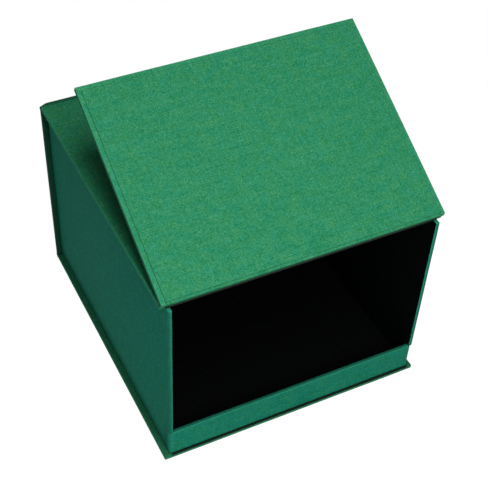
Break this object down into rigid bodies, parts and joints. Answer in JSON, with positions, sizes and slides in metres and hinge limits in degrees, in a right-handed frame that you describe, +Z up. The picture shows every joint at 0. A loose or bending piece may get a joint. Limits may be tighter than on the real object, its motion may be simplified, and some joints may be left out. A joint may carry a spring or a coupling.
{
  "type": "photo storage box",
  "caption": "Cloth-covered storage box for photo prints, with a hinged lid and a front flap folded back over it.",
  "frame": {"origin": "on the table, under the middle of the base", "axes": "+Z up, -Y towards the open front, +X to the right seen from the front"},
  "size_m": [0.194, 0.2144, 0.2157],
  "materials": {
    "board": "matte",
    "book_cloth": "matte",
    "black_paper": "matte",
    "black_cloth": "matte"
  },
  "bodies": {
    "case": {"base_board": "board", "spine_board": "board", "base_cloth": "book_cloth", "spine_cloth": "book_cloth", "base_joint_cloth": "book_cloth", "tray_floor": "board", "left_wall": "board", "right_wall": "board", "back_wall": "board", "front_lip": "board", "tray_cloth": "book_cloth", "floor_lining": "black_paper", "left_lining": "black_paper", "right_lining": "black_paper", "back_lining": "black_paper", "lip_lining": "black_paper", "back_hinge_cloth": "book_cloth", "back_hinge_lining": "black_cloth"},
    "lid": {"lid_board": "board", "lid_cloth": "book_cloth", "lid_lining": "black_paper", "flap_hinge_cloth": "book_cloth", "flap_hinge_lining": "book_cloth"},
    "flap": {"flap_board": "board", "flap_cloth": "book_cloth", "flap_lining": "book_cloth"}
  },
  "joints": [
    {"name": "lid_hinge", "type": "hinge", "parent": "case", "child": "lid", "pos_m": [0, 0.10655, 0.145], "axis": [-1, 0, 0], "range_deg": [0, 180], "deforming": ["back_hinge_cloth", "back_hinge_lining"]},
    {"name": "flap_hinge", "type": "hinge", "parent": "lid", "child": "flap", "pos_m": [0, -0.10769, 0.14795], "axis": [1, 0, 0], "range_deg": [-13, 242.7], "deforming": ["flap_hinge_cloth", "flap_hinge_lining"]}
  ]
}
